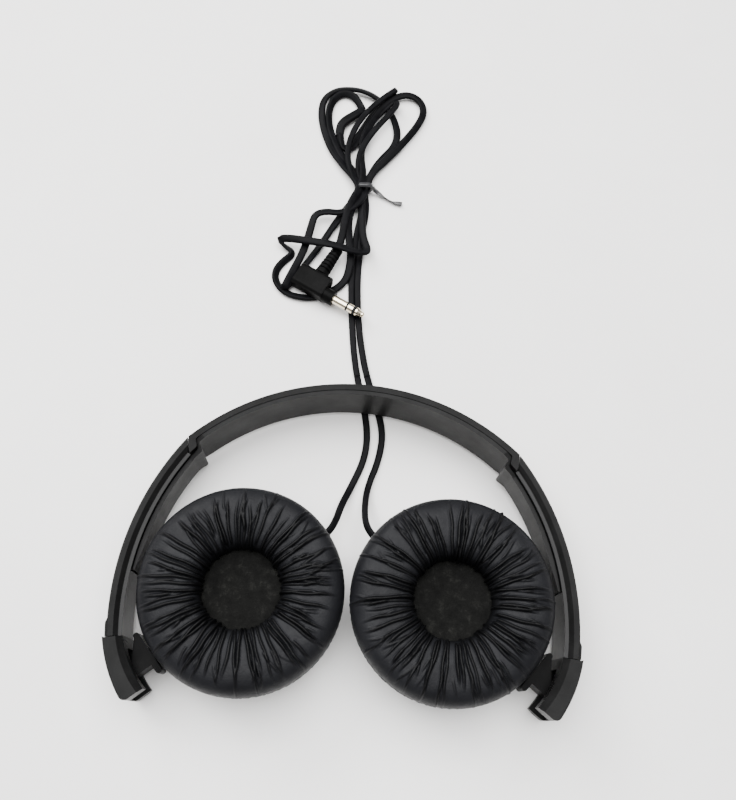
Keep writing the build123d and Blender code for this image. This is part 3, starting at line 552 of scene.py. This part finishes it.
# ---- ear pads ----
PAD_TURNS = 176
CLOTH_FRAMES = 20
PRESSURE = 4
MOST_PUFF = 0.0006
LONG_PLEATS = 64
RIM_PLEATS = 56
HOLE_PLEATS = 44
DEEPEST = 1.5
PAD_PROFILE = [
    (13.5, 22.75), (13.5, 23.8), (13.8, 25.6), (14.7, 27.6), (16.4, 29.0), (19.0, 29.8),
    (22.0, 30.15), (25.0, 30.2), (28.0, 30.0), (30.6, 29.4), (32.6, 28.0), (33.8, 25.8),
    (34.2, 23.2), (34.1, 20.8), (33.7, 18.9), (32.9, 17.25),
]


def cup_point(hand, radius, turn, z):
    """A place about a cup's centre line: radius and height in mm, turn in radians."""
    x = (hand * CUP_X + radius * math.cos(turn)) * MM
    y = (CUP_Y + radius * math.sin(turn)) * MM
    return Vector((x, y, z * MM))


def puffed(name, hand):
    """The stuffed ring: a sewn tube held at the hole and at the rim seam, blown up as cloth."""
    rings = len(PAD_PROFILE)
    verts = []
    for i in range(PAD_TURNS):
        turn = 2 * math.pi * i / PAD_TURNS
        for r, z in PAD_PROFILE:
            verts.append(cup_point(hand, r, turn, z))
    faces = []
    for i in range(PAD_TURNS):
        k = (i + 1) % PAD_TURNS
        for j in range(rings - 1):
            faces.append((i * rings + j, k * rings + j, k * rings + j + 1, i * rings + j + 1))
    cover = new_mesh(name, verts, faces, LEATHER)
    held = cover.vertex_groups.new(name="held")
    seams = (0, 1, rings - 2, rings - 1)
    held.add([i * rings + j for i in range(PAD_TURNS) for j in seams], 1.0, "REPLACE")
    sim = cover.modifiers.new("Cloth", "CLOTH")
    sim.settings.vertex_group_mass = "held"
    sim.settings.quality = 5
    sim.settings.tension_stiffness = 30
    sim.settings.compression_stiffness = 30
    sim.settings.bending_stiffness = 1.0
    sim.settings.use_pressure = True
    sim.settings.uniform_pressure_force = PRESSURE
    sim.settings.effector_weights.gravity = 0
    sim.collision_settings.use_collision = False
    sim.point_cache.frame_start = 1
    sim.point_cache.frame_end = CLOTH_FRAMES
    for step in range(1, CLOTH_FRAMES + 1):
        bpy.context.scene.frame_set(step)
    blown = cover.evaluated_get(bpy.context.evaluated_depsgraph_get()).to_mesh()
    moved = [v.co.copy() for v in blown.vertices]
    cover.modifiers.remove(sim)
    bpy.context.scene.frame_set(1)
    for vert, new in zip(cover.data.vertices, moved):
        shift = new - vert.co
        if shift.length > MOST_PUFF:
            shift = shift.normalized() * MOST_PUFF
        vert.co = vert.co + shift
    fine = cover.modifiers.new("fine", "SUBSURF")
    fine.levels = 2
    fine.render_levels = 2
    mesh = bpy.data.meshes.new_from_object(cover.evaluated_get(bpy.context.evaluated_depsgraph_get()))
    bpy.data.objects.remove(cover)
    return mesh


def pleats_for(seed):
    """Pleats as (angle, inner radius, outer radius, depth, width, drift, wave), in mm and radians."""
    rng = random.Random(seed)
    out = []
    for i in range(LONG_PLEATS):
        angle = 2 * math.pi * (i + rng.uniform(-0.38, 0.38)) / LONG_PLEATS
        reach = 26.5 + 8.0 * rng.random() ** 0.7
        out.append((angle, rng.uniform(13.3, 15.5), reach, rng.uniform(0.75, 1.35), rng.uniform(0.22, 0.34),
                    rng.uniform(-0.08, 0.08), rng.uniform(0, 6.3)))
    for i in range(RIM_PLEATS):
        angle = rng.uniform(0, 2 * math.pi)
        start = rng.uniform(18.5, 26.5)
        stop = min(32.8, start + rng.uniform(4.0, 8.5))
        out.append((angle, start, stop, rng.uniform(0.45, 0.95), rng.uniform(0.2, 0.3),
                    rng.uniform(-0.09, 0.09), rng.uniform(0, 6.3)))
    for i in range(HOLE_PLEATS):
        angle = rng.uniform(0, 2 * math.pi)
        out.append((angle, 13.4, rng.uniform(15.5, 19.0), rng.uniform(0.25, 0.5), rng.uniform(0.22, 0.34),
                    rng.uniform(-0.1, 0.1), rng.uniform(0, 6.3)))
    return out


def pleat_depth(pleats, radius, turn):
    """How far the cover is drawn in by its pleats, in mm, at a place in plan."""
    total = 0.0
    for angle, start, stop, depth, width, drift, wave in pleats:
        if radius < start - 1.0 or radius > stop + 1.5:
            continue
        u = (radius - start) / (stop - start)
        bend = angle + drift * u + 0.007 * math.sin(0.6 * radius + wave)
        off = (turn - bend + math.pi) % (2 * math.pi) - math.pi
        gap = off * radius
        if abs(gap) > 4 * width:
            continue
        grow = min(1.0, max(0.0, (u + 0.06) / 0.1)) * min(1.0, max(0.0, (1.05 - u) / 0.28)) ** 0.8
        lean = gap / width
        lip = 0.16 * math.exp(-((lean - 2.2) ** 2)) + 0.10 * math.exp(-((lean + 2.2) ** 2))
        total += depth * grow * (math.exp(-(abs(lean) ** 1.5)) - lip)
    return min(total, DEEPEST)


def wrinkled(mesh, hand, seed):
    """Draws pleats into the puffed cover and joins its edges down to the backing. Stores painted shade for
    the pleats and the hole's inner wall in the drawn attribute.
    """
    pleats = pleats_for(seed)
    centre = Vector((hand * CUP_X * MM, CUP_Y * MM, 0))
    normals = [v.normal.copy() for v in mesh.vertices]
    # painted shade, kept per point: darkest in deep pleats and down the hole's inner wall
    painted_shade = mesh.attributes.new("drawn", "FLOAT", "POINT")
    for vert, normal in zip(mesh.vertices, normals):
        flat = vert.co - centre
        radius = math.hypot(flat.x, flat.y) / MM
        turn = math.atan2(flat.y, flat.x)
        drawn = pleat_depth(pleats, radius, turn) if vert.co.z > 0.0225 else 0.0
        # painted shade down the hole's inner wall, growing towards the felt
        inside = min(1.0, max(0.0, (15.2 - radius) / 1.6)) * 0.75
        painted_shade.data[vert.index].value = min(0.95, max(inside, (drawn - 0.2) / 0.5))
        soft = noise.noise(Vector((flat.x * 90, flat.y * 90, seed))) * 0.22
        soft += noise.noise(Vector((flat.x * 320, flat.y * 320, seed + 4))) * 0.07
        edge = min(1.0, max(0.0, (34.6 - radius) / 2.0))
        vert.co -= normal * ((drawn + soft * edge) * MM)
        rise = vert.co.z / MM
        if rise < 19.6:
            ripple = math.sin(turn * 96) * 0.10 + math.sin(turn * 31 + seed) * 0.08
            vert.co -= Vector((flat.x, flat.y, 0)).normalized() * (abs(ripple) * MM)
    return mesh


WELT_R = 33.55
WELT_Z = 17.75
WELT_TURNS = 240
WELT_SIDES = 8
STITCH_R = 34.12
STITCH_Z = 18.7
STITCHES = 84
STITCH_SPAN = 0.046  # radians
STITCH_RINGS = 5
STITCH_SIDES = 6
FELT_R = 15.2
FELT_RINGS = 40
FELT_TURNS = 120


def pad_welt(name, hand, rng):
    """The piping at the rim seam, pinched unevenly by its sewing."""
    verts = []
    faces = []
    for i in range(WELT_TURNS):
        turn = 2 * math.pi * i / WELT_TURNS
        pinch = 0.06 * math.sin(turn * 60) + 0.05 * rng.uniform(-1, 1)
        for j in range(WELT_SIDES):
            a = 2 * math.pi * j / WELT_SIDES
            radius = WELT_R + pinch + 0.75 * math.cos(a)
            verts.append(cup_point(hand, radius, turn, WELT_Z + 0.68 * math.sin(a)))
    for i in range(WELT_TURNS):
        near, far = i * WELT_SIDES, (i + 1) % WELT_TURNS * WELT_SIDES
        for j in range(WELT_SIDES):
            k = (j + 1) % WELT_SIDES
            faces.append((near + j, far + j, far + k, near + k))
    return new_mesh(name, verts, faces, LEATHER)


def pad_stitches(name, hand):
    """Short raised stitches, each a tapered tube with closed ends."""
    verts = []
    faces = []
    for i in range(STITCHES):
        middle = 2 * math.pi * i / STITCHES
        base = len(verts)
        for k in range(STITCH_RINGS):
            u = k / (STITCH_RINGS - 1)
            turn = middle + (u - 0.5) * STITCH_SPAN
            rise = 0.16 * math.sin(math.pi * u)
            fat = 0.17 * (0.6 + 0.4 * math.sin(math.pi * u))
            for j in range(STITCH_SIDES):
                a = 2 * math.pi * j / STITCH_SIDES
                radius = STITCH_R + rise + fat * math.cos(a)
                verts.append(cup_point(hand, radius, turn, STITCH_Z + fat * math.sin(a)))
        for k in range(STITCH_RINGS - 1):
            near, far = base + k * STITCH_SIDES, base + (k + 1) * STITCH_SIDES
            for j in range(STITCH_SIDES):
                n = (j + 1) % STITCH_SIDES
                faces.append((near + j, far + j, far + n, near + n))
        last = base + (STITCH_RINGS - 1) * STITCH_SIDES
        faces.append(tuple(base + j for j in range(STITCH_SIDES)))
        faces.append(tuple(last + j for j in reversed(range(STITCH_SIDES))))
    return new_mesh(name, verts, faces, THREAD)


def felt_pile(name, hand, seed):
    """Felt over the driver: slightly dished, with an uneven pile."""
    verts = [cup_point(hand, 0, 0, 21.9)]
    faces = []
    for i in range(1, FELT_RINGS + 1):
        r = FELT_R * i / FELT_RINGS
        for j in range(FELT_TURNS):
            a = 2 * math.pi * j / FELT_TURNS
            x, y = r * math.cos(a), r * math.sin(a)
            z = 21.85 + 0.35 * (r / FELT_R) ** 2 + 0.12 * noise.noise(Vector((x * 0.4, y * 0.4, seed)))
            z += 0.05 * noise.noise(Vector((x * 1.7, y * 1.7, seed)))
            verts.append(cup_point(hand, r, a, z))
    for j in range(FELT_TURNS):
        faces.append((0, 1 + j, 1 + (j + 1) % FELT_TURNS))
    for i in range(FELT_RINGS - 1):
        for j in range(FELT_TURNS):
            a, b = 1 + i * FELT_TURNS + j, 1 + i * FELT_TURNS + (j + 1) % FELT_TURNS
            faces.append((a, a + FELT_TURNS, b + FELT_TURNS, b))
    pile = new_mesh(name, verts, faces, FELT)
    thick = pile.modifiers.new("thick", "SOLIDIFY")
    thick.thickness = 0.0006
    thick.offset = -1
    return pile


for side, hand in HANDS:
    body = "cup_" + side
    seed = 7 if hand < 0 else 23
    cover = bpy.data.objects.new("pad_cover_" + side, wrinkled(puffed("pad_" + side, hand), hand, seed))
    bpy.context.scene.collection.objects.link(cover)
    cover.data.polygons.foreach_set("use_smooth", [True] * len(cover.data.polygons))
    thick = cover.modifiers.new("thick", "SOLIDIFY")
    thick.thickness = 0.0005
    thick.offset = 0
    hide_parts("ear_pad_" + side)
    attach(cover, body)
    welt = pad_welt("pad_welt_" + side, hand, random.Random(seed + 1))
    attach(welt, body)
    stitches = pad_stitches("pad_stitches_" + side, hand)
    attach(stitches, body)
    pile = felt_pile("felt_cover_" + side, hand, seed)
    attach(pile, body)
    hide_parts("felt_disc_" + side)

# ---- table and light ----
FLOOR_HALF = 3
WORLD_LEVEL = 0.4
CEILING_WATTS = 84.0
WINDOW_WATTS = 26.0
corners = [(x * FLOOR_HALF, y * FLOOR_HALF, 0) for x, y in ((-1, -1), (1, -1), (1, 1), (-1, 1))]
floor_mesh = bpy.data.meshes.new("table")
floor_mesh.from_pydata(corners, [], [(0, 1, 2, 3)])
floor_mesh.materials.append(CLOTH)
floor = bpy.data.objects.new("table", floor_mesh)
bpy.context.scene.collection.objects.link(floor)

world = bpy.data.worlds.new("room")
world.use_nodes = True
world.node_tree.nodes["Background"].inputs["Color"].default_value = (1.0, 0.99, 0.985, 1)
world.node_tree.nodes["Background"].inputs["Strength"].default_value = WORLD_LEVEL
bpy.context.scene.world = world


def panel(name, place, target, size, power):
    """A rectangular lamp at a place, turned to a target."""
    data = bpy.data.lights.new(name, "AREA")
    data.shape = "RECTANGLE"
    data.size, data.size_y = size
    data.energy = power
    lamp = bpy.data.objects.new(name, data)
    bpy.context.scene.collection.objects.link(lamp)
    lamp.location = place
    lamp.rotation_euler = (Vector(target) - Vector(place)).to_track_quat("-Z", "Y").to_euler()
    return lamp


panel("ceiling", (-0.1, 0.3, 1.5), (0, 0, 0), (1.8, 1.4), CEILING_WATTS)
panel("window", (-0.8, 0.9, 0.9), (0, 0.03, 0), (0.9, 0.6), WINDOW_WATTS)
